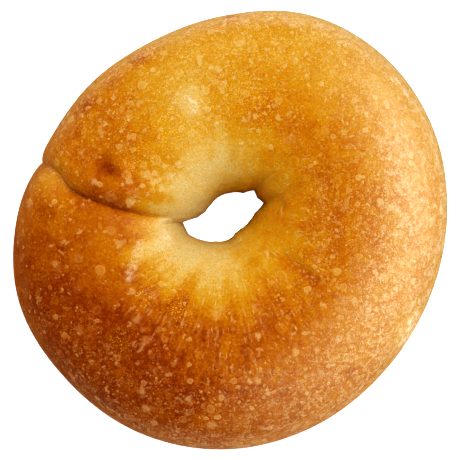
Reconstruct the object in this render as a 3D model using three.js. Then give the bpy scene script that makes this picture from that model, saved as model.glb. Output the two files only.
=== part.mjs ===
import * as THREE from 'three';

// A plain bagel: one plump ring of baked dough. The baker rolled a rope, lapped its two ends and
// pressed them together, which leaves a slanting seam on the left of the ring, and a small hole
// that closed up into folds as the dough rose.
//
// Millimetres, +Z up. The bagel rests on z = 0 with its outline centred on the origin. Bearings
// are in degrees, anticlockwise from +X, about the middle of the hole.

// ---- Driving dimensions -------------------------------------------------------------------

// The middle of the hole lies a little off the middle of the ring.
const HOLE_X = -1.1;
const HOLE_Y = 3.3;

// Rim radius, one for every 22.5 degrees of bearing.
const RIM_RADII = [55.5, 56.5, 56.5, 54.75, 50.5, 47.75, 47.5, 48.25, 52.25, 56, 57, 58.25, 58.25, 57, 55.5, 55];

// The hole's outline, as bearing and radius of each fold, with straight stretches between them.
const HOLE_FOLDS = [
  [8, 7.2], [20, 9.9], [31, 9.0], [43, 9.5], [53, 7.2], [80, 5.8], [110, 5.0], [140, 4.4], [168, 4.6],
  [182, 6.1], [187, 9.4], [205, 9.7], [224, 8.0], [248, 6.3], [277, 5.5], [300, 4.5], [320, 4.5], [350, 5.8],
];

// The folds fade into a plain round wall of this radius as they climb out of the hole.
const HOLE_RADIUS = 6.5;
const FOLD_FADE = 3;

// Crown height, one for every 45 degrees of bearing.
const CROWN_HEIGHTS = [38.5, 38, 37, 36.5, 36, 38, 39.5, 39.5];
const RIM_LEVEL = 16;
const THROAT_LEVEL = 19;

// Powers that shape the section: 1 is an ellipse, less is fuller.
const CROWN_FULLNESS = 0.86;
const BASE_FULLNESS = 0.62;
// The tray pressed the base flat: without it the base would bulge this much further down.
const BASE_BULGE = 1.05;

// The seam runs from the hole to the rim. Its bearing is given at even steps across the ring.
const SEAM_BEARINGS = [188, 181.4, 179.4, 177.1, 174.9, 172.7, 170.4, 165.2, 163.5];
const SEAM_MIDDLE = 175;
const SEAM_BEND_SPREAD = 70;
const SEAM_DEPTH_CROWN = 3.0;
const SEAM_DEPTH_RIM = 1.2;
const SEAM_STEEP_SIDE = 1.5;
const SEAM_GENTLE_SIDE = 2.8;
// The dough end on the steep side laps over the other with a rolled lip.
const LIP_RISE = 0.9;
const LIP_BACK = 4.5;
const LIP_REACH = 4;

// Round marks on the crown, placed in plan: a scar with its crumb of dough, and a low swelling.
const MARKS = [
  { x: -30.5, y: 16.5, reach: 2.4, rise: -0.9 },
  { x: -27.0, y: 15.5, reach: 2.2, rise: 0.5 },
  { x: -10.0, y: 31.5, reach: 4.0, rise: 0.5 },
];

// Creases and a low ridge, straight in plan: two creases leave the folds of the hole, and one
// crease and the ridge lie on the crown.
const CREASES = [
  { from: [8.0, 6.5], to: [11.5, 6.5], reach: 1.6, rise: -1.4 },
  { from: [-0.5, -2.5], to: [3.0, -7.5], reach: 2.0, rise: -0.7 },
  { from: [12.5, -6.0], to: [20.5, -12.0], reach: 1.4, rise: -0.7 },
  { from: [5.2, -17.7], to: [8.2, -26.0], reach: 1.3, rise: 0.3 },
];

// Slow swells of the risen dough: waves around the ring and across it.
const SWELLS = [
  { around: 3, across: 1, phase: 40, rise: 0.5 },
  { around: 5, across: 2, phase: 150, rise: 0.35 },
];

// The mesh: stations around the ring crowd towards the seam.
const STATIONS = 104;
const STATION_CROWDING = 0.45;
const SECTION_STEPS = 42;

// ---- Helpers ------------------------------------------------------------------------------

const radians = THREE.MathUtils.degToRad;

// A bearing difference brought to -180..180 degrees.
function turnBetween(from, to) {
  return THREE.MathUtils.euclideanModulo(to - from + 180, 360) - 180;
}

// A smooth cubic through four neighbouring values, f of the way from b to c.
function cubic(a, b, c, d, f) {
  const slopeIn = (c - a) / 2;
  const slopeOut = (d - b) / 2;
  const bend = 2 * (b - c) + slopeIn + slopeOut;
  const sag = 3 * (c - b) - 2 * slopeIn - slopeOut;
  return b + f * (slopeIn + f * (sag + f * bend));
}

// A smooth closed curve through values spaced evenly around the ring.
function aroundRing(values, bearing) {
  const place = (THREE.MathUtils.euclideanModulo(bearing, 360) / 360) * values.length;
  const step = Math.floor(place);
  const at = (offset) => values[THREE.MathUtils.euclideanModulo(step + offset, values.length)];
  return cubic(at(-1), at(0), at(1), at(2), place - step);
}

// A smooth open curve through values spaced evenly from the hole (0) to the rim (1).
function acrossRing(values, across) {
  const last = values.length - 1;
  const place = THREE.MathUtils.clamp(across, 0, 1) * last;
  const step = Math.min(Math.floor(place), last - 1);
  const at = (offset) => values[THREE.MathUtils.clamp(step + offset, 0, last)];
  return cubic(at(-1), at(0), at(1), at(2), place - step);
}

// The hole's radius: straight in bearing from each fold to the next.
function foldRadius(bearing) {
  const turn = THREE.MathUtils.euclideanModulo(bearing, 360);
  let after = HOLE_FOLDS.findIndex(([at]) => at > turn);
  after = after < 0 ? 0 : after;
  const before = THREE.MathUtils.euclideanModulo(after - 1, HOLE_FOLDS.length);
  const [fromBearing, fromRadius] = HOLE_FOLDS[before];
  const [toBearing, toRadius] = HOLE_FOLDS[after];
  const span = THREE.MathUtils.euclideanModulo(toBearing - fromBearing, 360);
  const part = THREE.MathUtils.euclideanModulo(turn - fromBearing, 360) / span;
  return THREE.MathUtils.lerp(fromRadius, toRadius, part);
}

// A rounded hump, 1 at the middle and near 0 past its reach.
function hump(distance, reach) {
  return Math.exp(-((distance / reach) ** 2));
}

// How far a point in plan lies from a crease.
function distanceToCrease(x, y, { from, to }) {
  const run = [to[0] - from[0], to[1] - from[1]];
  const along = ((x - from[0]) * run[0] + (y - from[1]) * run[1]) / (run[0] ** 2 + run[1] ** 2);
  const part = THREE.MathUtils.clamp(along, 0, 1);
  return Math.hypot(x - from[0] - part * run[0], y - from[1] - part * run[1]);
}

// ---- The dough's form ---------------------------------------------------------------------

// The ring lines bend to run along the seam, so that its crease stays crisp.
function bendAlongSeam(bearing, across) {
  const away = Math.abs(turnBetween(SEAM_MIDDLE, bearing)) / SEAM_BEND_SPREAD;
  const share = away < 1 ? Math.cos((away * Math.PI) / 2) ** 2 : 0;
  return bearing + share * (acrossRing(SEAM_BEARINGS, across) - SEAM_MIDDLE);
}

// Depth of the seam's crease and height of its lip. gap is in millimetres, less than 0 on the
// lapping side.
function seamRelief(gap, crown) {
  const depth = THREE.MathUtils.lerp(SEAM_DEPTH_RIM, SEAM_DEPTH_CROWN, crown);
  const side = gap < 0 ? SEAM_STEEP_SIDE : SEAM_GENTLE_SIDE;
  const lip = gap < 0 ? LIP_RISE * crown * hump(gap + LIP_BACK, LIP_REACH) : 0;
  return lip - depth * Math.exp(-Math.abs(gap) / side);
}

// Everything that stands proud of the plain crown or sinks into it.
function crownRelief(x, y, bearing, across) {
  let rise = 0;
  for (const mark of MARKS) {
    rise += mark.rise * hump(Math.hypot(x - mark.x, y - mark.y), mark.reach);
  }
  for (const crease of CREASES) {
    rise += crease.rise * hump(distanceToCrease(x, y, crease), crease.reach);
  }
  for (const swell of SWELLS) {
    const wave = Math.sin(radians(swell.around * bearing + swell.phase));
    rise += swell.rise * wave * Math.sin(Math.PI * swell.across * across);
  }
  return rise;
}

// One point of the skin. bearing goes round the ring; turn goes round its section, from 0 at the
// rim, over the crown, to 180 in the throat of the hole and back along the base.
function skinPoint(bearing, turn) {
  const rimward = Math.cos(radians(turn));
  const upward = Math.sin(radians(turn));
  const across = (1 + rimward) / 2;
  const bent = bendAlongSeam(bearing, across);

  const rim = aroundRing(RIM_RADII, bent);
  const folds = (foldRadius(bent) - HOLE_RADIUS) * (1 - across) ** FOLD_FADE;
  const radius = THREE.MathUtils.lerp(HOLE_RADIUS, rim, across) + folds;

  const waist = THREE.MathUtils.lerp(THROAT_LEVEL, RIM_LEVEL, across);
  const crown = Math.max(upward, 0);
  const lift = (aroundRing(CROWN_HEIGHTS, bent) - waist) * crown ** CROWN_FULLNESS;
  const drop = waist * BASE_BULGE * Math.max(-upward, 0) ** BASE_FULLNESS;

  const x = HOLE_X + radius * Math.cos(radians(bent));
  const y = HOLE_Y + radius * Math.sin(radians(bent));
  const gap = radians(turnBetween(SEAM_MIDDLE, bearing)) * radius;
  const relief = seamRelief(gap, crown) + crown * crownRelief(x, y, bent, across);

  return new THREE.Vector3(
    x + relief * rimward * Math.cos(radians(bent)),
    y + relief * rimward * Math.sin(radians(bent)),
    Math.max(waist + lift - drop + relief * upward, 0),
  );
}

// The whole skin as one closed surface: a grid that joins up both ways.
function skinGeometry() {
  const points = [];
  for (let station = 0; station < STATIONS; station += 1) {
    const round = station / STATIONS;
    const crowded = round - (STATION_CROWDING * Math.sin(2 * Math.PI * round)) / (2 * Math.PI);
    for (let step = 0; step < SECTION_STEPS; step += 1) {
      points.push(skinPoint(SEAM_MIDDLE + 360 * crowded, (360 * step) / SECTION_STEPS));
    }
  }
  const faces = [];
  for (let station = 0; station < STATIONS; station += 1) {
    const here = station * SECTION_STEPS;
    const next = ((station + 1) % STATIONS) * SECTION_STEPS;
    for (let step = 0; step < SECTION_STEPS; step += 1) {
      const up = (step + 1) % SECTION_STEPS;
      faces.push(here + step, next + step, next + up);
      faces.push(here + step, next + up, here + up);
    }
  }
  const geometry = new THREE.BufferGeometry().setFromPoints(points);
  geometry.setIndex(faces);
  geometry.computeVertexNormals();
  return geometry;
}

// ---- The object ---------------------------------------------------------------------------

const crust = new THREE.MeshStandardMaterial({ color: 0xd08327, roughness: 0.5, metalness: 0 });

const bagel = new THREE.Mesh(skinGeometry(), crust);
bagel.name = 'bagel';

const group = new THREE.Group();
group.add(bagel);

export default group;
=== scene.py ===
# %% [markdown]
# # A plain bagel
# A bagel is one rope of dough. The baker laps its two ends, lets the ring rise until the hole
# nearly closes, boils it and bakes it. So there is one piece here, and all its interest is in
# its skin: a seam, folds round the hole, blisters, and a crust that browns unevenly.
#
# The ring could be sculpted by hand, or a torus could be pushed about with displacement nodes.
# Here it is worked out as one surface of two parameters, round the ring and round its section,
# because the same few numbers then also place the browning, the blisters and the pattern's map.
# Lengths are in millimetres until the mesh is made, which is in metres.

import math

import bpy
import numpy as np
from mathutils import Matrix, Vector


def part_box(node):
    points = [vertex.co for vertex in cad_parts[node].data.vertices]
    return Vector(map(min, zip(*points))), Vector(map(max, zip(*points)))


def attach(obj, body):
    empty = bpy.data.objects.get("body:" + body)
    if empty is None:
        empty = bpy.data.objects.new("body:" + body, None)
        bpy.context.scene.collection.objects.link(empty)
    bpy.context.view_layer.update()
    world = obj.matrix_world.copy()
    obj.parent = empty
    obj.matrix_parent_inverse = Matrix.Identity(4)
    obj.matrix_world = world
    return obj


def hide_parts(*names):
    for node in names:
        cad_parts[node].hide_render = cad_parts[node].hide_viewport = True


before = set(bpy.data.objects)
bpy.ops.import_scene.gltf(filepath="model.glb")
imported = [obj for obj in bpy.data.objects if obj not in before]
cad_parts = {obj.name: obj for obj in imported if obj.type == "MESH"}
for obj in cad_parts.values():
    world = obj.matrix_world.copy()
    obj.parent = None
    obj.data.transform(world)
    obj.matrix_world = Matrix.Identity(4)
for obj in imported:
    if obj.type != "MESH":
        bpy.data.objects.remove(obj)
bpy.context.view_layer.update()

MM = 0.001


def span(values, digits=1):
    """The least and the greatest of an array, as text."""
    return f"{values.min():.{digits}f} to {values.max():.{digits}f}"


ring_low, ring_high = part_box("bagel")
print("ring, mm:", [round((high - low) / MM, 1) for low, high in zip(ring_low, ring_high)])

# %% [markdown]
# ## Camera
# The bagel is seen from straight above. A long lens from far away keeps the rim's far side from
# hiding behind the crown, as a close camera would make it. The picture is square, and its width
# is set at the level of the rim, which makes the outline.

# %% Camera
PICTURE_WIDTH = 115 * MM
RIM_LEVEL = 16
CAMERA_DISTANCE = 1.2
SENSOR_MM = 36

camera_data = bpy.data.cameras.new("camera")
camera_data.sensor_width = SENSOR_MM
camera_data.lens = SENSOR_MM * CAMERA_DISTANCE / PICTURE_WIDTH
camera = bpy.data.objects.new("camera", camera_data)
camera.location = (0, 0, RIM_LEVEL * MM + CAMERA_DISTANCE)
bpy.context.collection.objects.link(camera)
bpy.context.scene.camera = camera
print("lens, mm:", round(camera_data.lens, 1))

# %% [markdown]
# ## The grid
# Both ways round are closed, so the grid has no pole and no edge. The section's steps start in
# the middle of the base, where a pattern's join is out of sight. The crown gets twice as many
# steps as the base, because the crown carries the detail, and the stations round the ring crowd
# a little towards the seam.

# %% The grid of two parameters
STATIONS = 440
CROWN_STEPS = 150
BASE_STEPS = 76
SEAM_MIDDLE = 175
STATION_CROWDING = 0.15

half_base = BASE_STEPS // 2
turn = np.concatenate([
    np.linspace(-90, 0, half_base, endpoint=False),
    np.linspace(0, 180, CROWN_STEPS, endpoint=False),
    np.linspace(180, 270, half_base, endpoint=False),
])[None, :]
round_share = (np.arange(STATIONS) / STATIONS)[:, None]
crowded = round_share - STATION_CROWDING * np.sin(2 * np.pi * round_share) / (2 * np.pi)
bearing = SEAM_MIDDLE + 360 * crowded
print("grid:", STATIONS, "x", turn.size, "=", 2 * STATIONS * turn.size, "triangles")

# %% [markdown]
# ## The plain ring
# The outline and the crown's height are smooth closed curves through a few radii and heights at
# even bearings. The hole is different: the dough closed up there and folded, so its outline is
# straight between folds, and the folds fade out as they climb the wall. The section is half an
# oval above the widest level and a flattened one below it, which the tray cut off level.

# %% Curves through a few values
def cubic(a, b, c, d, f):
    """A smooth cubic from b to c, f of the way, with the slopes that its neighbours give it."""
    slope_in = (c - a) / 2
    slope_out = (d - b) / 2
    bend = 2 * (b - c) + slope_in + slope_out
    sag = 3 * (c - b) - 2 * slope_in - slope_out
    return b + f * (slope_in + f * (sag + f * bend))


def around_ring(values, at):
    """A closed curve through values at even bearings: a cubic between each pair."""
    values = np.asarray(values, float)
    place = at % 360 / 360 * len(values)
    step = np.floor(place).astype(int)
    a, b, c, d = (values[(step + offset) % len(values)] for offset in (-1, 0, 1, 2))
    return cubic(a, b, c, d, place - step)


def across_ring(values, at):
    """An open curve through values at even steps from the hole, 0, to the rim, 1."""
    values = np.asarray(values, float)
    last = len(values) - 1
    place = np.clip(at, 0, 1) * last
    step = np.minimum(np.floor(place).astype(int), last - 1)
    a, b, c, d = (values[np.clip(step + offset, 0, last)] for offset in (-1, 0, 1, 2))
    return cubic(a, b, c, d, place - step)


print("half way from 2 to 3 on the way from 1 to 5:", cubic(1, 2, 3, 5, 0.5))

# %% [markdown]
# ## Ring lines along the seam
# The seam slants across the ring. Lines that crossed it at a slant would turn its crease into a
# row of steps. So the lines near it bend to run along it, and ease back to true bearings away
# from it.

# %% The ring lines run along the seam
# The seam's bearing at even steps from the hole to the rim, and how far the bend spreads.
SEAM_BEARINGS = [188, 181.4, 179.4, 177.1, 174.9, 172.7, 170.4, 165.2, 163.5]
SEAM_BEND_SPREAD = 70


def turn_between(start, end):
    """The bearing difference from start to end, brought to -180..180 degrees."""
    return (end - start + 180) % 360 - 180


rimward = np.cos(np.radians(turn))
upward = np.sin(np.radians(turn))
across = (1 + rimward) / 2

away_from_seam = np.abs(turn_between(SEAM_MIDDLE, bearing)) / SEAM_BEND_SPREAD
bend_share = np.where(away_from_seam < 1, np.cos(away_from_seam * np.pi / 2) ** 2, 0)
bent = bearing + bend_share * (across_ring(SEAM_BEARINGS, across) - SEAM_MIDDLE)
print("seam, degrees:", SEAM_BEARINGS[0], "at the hole to", SEAM_BEARINGS[-1], "at the rim")

# %% The plan: rim, hole and folds
HOLE_X, HOLE_Y = -1.1, 3.3
# The rim's radius at 16 even bearings.
RIM_RADII = [
    55.5, 56.5, 56.5, 54.75, 50.5, 47.75, 47.5, 48.25,
    52.25, 56, 57, 58.25, 58.25, 57, 55.5, 55,
]
# The bearing and radius of each fold of the hole.
HOLE_FOLDS = [
    (8, 7.2), (20, 9.9), (31, 9.0), (43, 9.5), (53, 7.2), (80, 5.8), (110, 5.0), (140, 4.4),
    (168, 4.6), (182, 6.1), (187, 9.4), (205, 9.7), (224, 8.0), (248, 6.3), (277, 5.5),
    (300, 4.5), (320, 4.5), (350, 5.8),
]
# The folds fade into a round wall of this radius, by this power of the way that is left.
HOLE_RADIUS = 6.5
FOLD_FADE = 3

fold_bearings, fold_radii = zip(*HOLE_FOLDS)
fold_radius = np.interp(bent % 360, fold_bearings, fold_radii, period=360)
folds = (fold_radius - HOLE_RADIUS) * (1 - across) ** FOLD_FADE
radius = HOLE_RADIUS + (around_ring(RIM_RADII, bent) - HOLE_RADIUS) * across + folds

plan_x = HOLE_X + radius * np.cos(np.radians(bent))
plan_y = HOLE_Y + radius * np.sin(np.radians(bent))
print(f"outline, mm: {np.ptp(plan_x):.1f} by {np.ptp(plan_y):.1f}")

# %% The height: crown and base
# The crown's height at 8 even bearings, and the widest level at the hole.
CROWN_HEIGHTS = [38.5, 38, 37, 36.5, 36, 38, 39.5, 39.5]
THROAT_LEVEL = 19
# Powers that shape the section: 1 is an ellipse, less is fuller.
CROWN_FULLNESS = 0.86
BASE_FULLNESS = 0.62
# Without the tray the base would bulge down to this many times the widest level.
BASE_BULGE = 1.05

waist = THROAT_LEVEL + (RIM_LEVEL - THROAT_LEVEL) * across
crown = np.maximum(upward, 0)
lift = (around_ring(CROWN_HEIGHTS, bent) - waist) * crown ** CROWN_FULLNESS
drop = waist * BASE_BULGE * np.maximum(-upward, 0) ** BASE_FULLNESS
plain_z = waist + lift - drop
print(f"plain crown, mm: {plain_z.max():.1f}")

# %% [markdown]
# ## Lengths along the skin
# Blisters and grain need to know how far apart two points of the skin are. One way is to ask
# each pair in space, which is slow. The grid makes it easy: the girth is summed along each
# station, and the way round is the circle through the point.

# %% Girth and way round
def closed_girth(x, y, z):
    """Length along each station from the base's middle, and the whole girth."""
    steps = [np.roll(part, -1, axis=1) - part for part in (x, y, z)]
    lengths = np.sqrt(sum(step ** 2 for step in steps))
    total = lengths.sum(axis=1, keepdims=True)
    return np.cumsum(lengths, axis=1) - lengths, total


girth_at, girth = closed_girth(plan_x, plan_y, np.maximum(plain_z, 0))
girth_share = girth_at / girth
ring_share = np.broadcast_to(round_share, girth_share.shape)
print("girth, mm:", span(girth))

# %% [markdown]
# ## Relief of the dough
# The lapped end overhangs the other with a rolled lip, so the crease is steep on its side and
# gentle on the other. It could be cut with a sculpting brush. As a formula of the gap to the
# seam it stays crisp at any fineness. A few marks and creases are placed one by one where the
# dough was pinched, and slow waves keep the ring from looking turned on a lathe.

# %% The seam's crease and lip
SEAM_DEPTH_CROWN = 3.0
SEAM_DEPTH_RIM = 1.2
SEAM_STEEP_SIDE = 1.5
SEAM_GENTLE_SIDE = 2.8
LIP_RISE = 0.9
LIP_BACK = 4.5
LIP_REACH = 4


def hump(distance, reach):
    """A rounded hump: e to the minus square of distance over reach, so 1 at the middle."""
    return np.exp(-((distance / reach) ** 2))


def seam_relief(gap, crown):
    """Lip less crease: the crease falls off exponentially with the gap, faster on the lapping
    side, and the lip is a hump behind it on that side."""
    depth = SEAM_DEPTH_RIM + (SEAM_DEPTH_CROWN - SEAM_DEPTH_RIM) * crown
    side = np.where(gap < 0, SEAM_STEEP_SIDE, SEAM_GENTLE_SIDE)
    lip = np.where(gap < 0, LIP_RISE * crown * hump(gap + LIP_BACK, LIP_REACH), 0)
    return lip - depth * np.exp(-np.abs(gap) / side)


seam_gap = np.radians(turn_between(SEAM_MIDDLE, bearing)) * radius
relief = seam_relief(seam_gap, crown)
print("seam, mm:", span(relief))

# %% Marks, creases and slow swells
MARKS = [
    dict(x=-30.5, y=16.5, reach=2.4, rise=-0.9),
    dict(x=-27.0, y=15.5, reach=2.2, rise=0.5),
    dict(x=-10.0, y=31.5, reach=4.0, rise=0.5),
]
CREASES = [
    dict(start=(8.0, 6.5), end=(11.5, 6.5), reach=1.6, rise=-1.4),
    dict(start=(-0.5, -2.5), end=(3.0, -7.5), reach=2.0, rise=-0.7),
    dict(start=(12.5, -6.0), end=(20.5, -12.0), reach=1.4, rise=-0.7),
    dict(start=(5.2, -17.7), end=(8.2, -26.0), reach=1.3, rise=0.3),
]
SWELLS = [
    dict(around=3, across=1, phase=40, rise=0.5),
    dict(around=5, across=2, phase=150, rise=0.35),
]
# The fine skin lies this much inside the solid, so that its blisters stay in the solid's box.
SKIN_INSET = 0.12


def distance_to_line(x, y, start, end):
    """Distance in plan from the straight stretch between start and end."""
    run_x, run_y = end[0] - start[0], end[1] - start[1]
    along = ((x - start[0]) * run_x + (y - start[1]) * run_y) / (run_x ** 2 + run_y ** 2)
    part = np.clip(along, 0, 1)
    return np.hypot(x - start[0] - part * run_x, y - start[1] - part * run_y)


def crown_relief(x, y, at, across):
    """The sum of humps at the marks, humps along the creases, and waves both ways."""
    rise = 0
    for mark in MARKS:
        rise = rise + mark["rise"] * hump(np.hypot(x - mark["x"], y - mark["y"]), mark["reach"])
    for crease in CREASES:
        away = distance_to_line(x, y, crease["start"], crease["end"])
        rise = rise + crease["rise"] * hump(away, crease["reach"])
    for swell in SWELLS:
        wave = np.sin(np.radians(swell["around"] * at + swell["phase"]))
        rise = rise + swell["rise"] * wave * np.sin(np.pi * swell["across"] * across)
    return rise


relief = relief + crown * crown_relief(plan_x, plan_y, bent, across) - SKIN_INSET
print("relief, mm:", span(relief))

# %% [markdown]
# ## Large blisters
# Boiling seals the skin, and the oven's heat lifts it in hundreds of blisters. Each could be a
# little dome object, or a noise could hint at them. Here the large ones are true relief, in two
# sets. For the random set the skin is split into cells, each cell holds at most one blister at
# a random spot, and a point takes the highest of the nine that are near. Near the hole the ring
# is short, so the cells narrow there and the blisters draw out as stretched dough does.
# The other set holds the largest ones of this bagel, each at its own place. Their distance is
# measured in space, so that they stay round on a slope, and waves make their outlines uneven.

# %% A layer of random blisters
EVEN_RADIUS = 30
LONGEST_STREAK = 2.4
NO_BLISTER = 0.001

even_round = 2 * np.pi * np.maximum(radius, EVEN_RADIUS)
streak = np.clip(EVEN_RADIUS / radius, 1, LONGEST_STREAK)


def blister_layer(cell, smallest, largest, share, seed):
    """For each point, the dome height and paleness of the nearest blister.

    A dome is 1 less the square of the distance from its middle over its radius. Sizes follow
    the square of a random number, so small ones are common."""
    draw = np.random.default_rng(seed)
    columns = round(2 * np.pi * EVEN_RADIUS / cell)
    rows = round(float(girth.mean()) / cell)
    spot_u, spot_v, size_draw, tone_draw, presence = draw.random((5, columns, rows))
    size = smallest + (largest - smallest) * size_draw ** 2
    size = np.where(presence < share, size, NO_BLISTER)
    column = np.floor(ring_share * columns).astype(int)
    row = np.floor(girth_share * rows).astype(int)
    height = np.zeros(girth_share.shape)
    tone = np.zeros(girth_share.shape)
    for side_u in (-1, 0, 1):
        for side_v in (-1, 0, 1):
            near = (column + side_u) % columns, (row + side_v) % rows
            gap_u = (column + side_u + spot_u[near]) / columns - ring_share
            gap_v = (row + side_v + spot_v[near]) / rows - girth_share
            reach = size[near] / 2
            distance = np.hypot(gap_u * even_round, gap_v * girth / streak) / reach
            dome = np.clip(1 - distance ** 2, 0, 1)
            higher = dome > height
            height = np.where(higher, dome, height)
            tone = np.where(higher, tone_draw[near], tone)
    return height, tone


print(f"blisters draw out near the hole, times: {streak.max():.1f}")

# %% Random blisters, clear of the hole
RANDOM_BLISTERS = dict(cell=6.0, smallest=1.6, largest=3.0, share=0.5, seed=11)
RANDOM_RISE = 0.06
LEAST_RISE = 0.4
RANDOM_TONE = dict(steepness=2.5, edge=0.8, top=0.3)
# Blisters begin this far from the middle of the hole, and reach their full share over a width.
CLEAR_START = 12
CLEAR_WIDTH = 12


def blend(low, high, share):
    """The share of the way from low to high."""
    return low + (high - low) * share


def dome_tone(dome, steepness, edge, top):
    """Paleness over a dome: it starts this steeply at the edge, and goes from the edge's value
    to the top's as the dome rises."""
    return np.clip(steepness * dome, 0, 1) * blend(edge, top, dome)


clear_of_hole = np.clip((radius - CLEAR_START) / CLEAR_WIDTH, 0, 1)
random_dome, random_draw = blister_layer(**RANDOM_BLISTERS)
blister_rise = RANDOM_RISE * random_dome * blend(LEAST_RISE, 1, random_draw) * clear_of_hole
blister_tone = dome_tone(random_dome, **RANDOM_TONE) * random_draw ** 2 * clear_of_hole
print(f"random blisters, share of the skin: {(random_dome > 0).mean():.2f}")

# %% Placed blisters
# Each has its middle, its width and its paleness.
PLACED_BLISTERS = [
    (-20.6, -43.9, 2.6, 0.9), (-10.1, -41.3, 1.9, 0.9), (-10.6, -45.1, 1.8, 0.8),
    (-4.6, -48.1, 3.0, 0.9), (16.1, -30.1, 2.3, 0.9), (21.4, -29.4, 2.0, 0.8),
    (6.9, -37.1, 2.0, 1.0), (30.6, -17.6, 2.1, 0.9), (6.9, -25.9, 1.8, 1.2),
    (6.3, -22.6, 1.0, 0.9), (7.3, -20.6, 0.9, 0.9), (5.8, -18.9, 1.1, 0.9),
    (-24.1, -15.1, 2.1, 0.8), (-22.9, -22.1, 2.2, 0.7), (-43.4, -8.4, 2.1, 0.7),
    (-20.6, -27.1, 2.3, 0.6), (-27.1, -3.4, 2.4, 0.8), (-24.4, 6.7, 2.6, 1.2),
    (-20.4, 13.6, 2.6, 1.0), (-18.6, 14.0, 1.8, 1.1), (-14.9, 13.2, 2.0, 1.2),
    (-12.9, 16.3, 2.0, 1.1), (-11.1, 11.3, 1.5, 1.1), (-12.6, 14.0, 1.3, 1.1),
    (-17.0, 10.2, 1.8, 1.1), (-16.2, 15.8, 1.5, 1.0), (-14.6, 10.6, 1.2, 1.1),
    (-9.8, 13.6, 1.2, 1.0), (-21.6, 10.9, 1.5, 1.1), (-18.9, 11.9, 2.2, 1.1),
    (-17.6, 12.4, 1.4, 1.2), (-13.4, 11.8, 1.4, 1.1), (-24.9, 12.0, 2.0, 1.0),
    (-33.1, 11.8, 1.9, 1.0), (-31.6, 23.8, 2.0, 0.8), (-20.4, 8.8, 1.3, 0.9),
    (27.9, 24.1, 1.9, 0.9), (11.1, 46.4, 2.0, 0.8),
]
PLACED_RISE = 0.10
PLACED_TONE = dict(steepness=1.8, edge=1.0, top=0.8)
# Waves round a placed blister's outline: how many, and how much of its radius each moves.
OUTLINE_WAVES = [(3, 0.14), (5, 0.08)]
WAVE_TURN = 7


def away_from(x, y):
    """Distance in space from the skin that lies above the place x, y in plan."""
    plan = np.hypot(plan_x - x, plan_y - y)
    level = plain_z.flat[np.where(upward > 0, plan, np.inf).argmin()]
    return np.hypot(plan, plain_z - level)


def uneven_outline(x, y):
    """The radius's share at each bearing from x, y: 1 plus the waves, turned by the place."""
    side = np.arctan2(plan_y - y, plan_x - x)
    turned = zip(OUTLINE_WAVES, (x, y))
    return 1 + sum(size * np.cos(waves * side + WAVE_TURN * at) for (waves, size), at in turned)


for x, y, width, paleness in PLACED_BLISTERS:
    distance = away_from(x, y) / (uneven_outline(x, y) * width / 2)
    dome = np.clip(1 - distance ** 2, 0, 1)
    blister_rise = np.maximum(blister_rise, PLACED_RISE * dome)
    blister_tone = np.maximum(blister_tone, dome_tone(dome, **PLACED_TONE) * paleness)
print("placed blisters:", len(PLACED_BLISTERS))

# %% The finished skin
# Blisters and patches fade out below the widest level, over these heights of the section.
TOP_START = -0.35
TOP_WIDTH = 0.5

on_top = np.clip((upward - TOP_START) / TOP_WIDTH, 0, 1)
blister_rise *= on_top
blister_tone *= on_top
lifted = relief + blister_rise
skin_x = plan_x + lifted * rimward * np.cos(np.radians(bent))
skin_y = plan_y + lifted * rimward * np.sin(np.radians(bent))
skin_z = np.maximum(plain_z + lifted * upward, 0)
print("skin, mm:", [round(float(np.ptp(part)), 1) for part in (skin_x, skin_y, skin_z)])

# %% [markdown]
# ## Browning
# The crust browns where the oven's heat reaches it. The crown catches most of it, the rim less,
# and the dough that closed up round the hole stays cream. One side of the oven was hotter, so
# each of the three levels swings round the ring: a mean, plus a swing towards one bearing. The
# cream's edge is ragged, as three waves round the hole make it. Deep in the throat the wall is
# painted darker again, partly browning and partly painted shade, the flank below the rim stays
# paler, and the hot tray browns the base's edge.
#
# It could be painted by hand on an image. Here it is one number a point, 0 for cream and 1 for
# dark brown, and the material turns that into colour.

# %% Browning of hole, crown and rim
HOLE_BROWNING = dict(mean=0.27, swing=0.30, towards=15)
CROWN_BROWNING = dict(mean=0.80, swing=0.07, towards=240)
RIM_BROWNING = dict(mean=0.72, swing=0.265, towards=226)
# Shares of the way across, from 0 at the hole to 1 at the rim, where one level meets the next.
HOLE_TO_CROWN = (0.10, 0.44)
CROWN_TO_RIM = (0.40, 0.85)
# The cream's edge: how many waves, the bearing of a peak, and how far it moves the edge.
RAGGED_WAVES = [(6, 210, 0.026), (13, 203, 0.024), (23, 250, 0.018)]
# Painted shade in part: the throat is darkened for browning and for the shade deep in the hole.
THROAT_BROWNING_AND_SHADE = 0.32
THROAT_LEVELS = (26, 18)
THROAT_ACROSS = (0.35, 0.20)


def ease(value, start, end):
    """0 before start and 1 past end, easing in and out between: 3 t squared less 2 t cubed."""
    t = np.clip((value - start) / (end - start), 0, 1)
    return t * t * (3 - 2 * t)


def level_round_ring(level):
    """The mean, plus the swing times the cosine of the bearing from its strongest side."""
    return level["mean"] + level["swing"] * np.cos(np.radians(bent - level["towards"]))


ragged = sum(size * np.cos(np.radians(waves * (bent - peak))) for waves, peak, size in RAGGED_WAVES)
hole_level, crown_level, rim_level = (
    level_round_ring(level) for level in (HOLE_BROWNING, CROWN_BROWNING, RIM_BROWNING))
browning = blend(hole_level, crown_level, ease(across - ragged, *HOLE_TO_CROWN))
in_shaded_throat = ease(skin_z, *THROAT_LEVELS) * ease(across, *THROAT_ACROSS)
browning = browning + THROAT_BROWNING_AND_SHADE * in_shaded_throat
browning = blend(browning, rim_level, ease(across, *CROWN_TO_RIM))
print("browning above:", span(browning, 2))

# %% Browning of flank and base
FLANK_PALER = 0.10
FLANK_LEVELS = (33, 14)
EDGE_BROWNING = 0.34
EDGE_LEVELS = (15, 3)
BASE_BROWNING = 0.86
BASE_LEVELS = (4.5, 0.5)
OUTER_SIDE = (0.5, 0.9)

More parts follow.
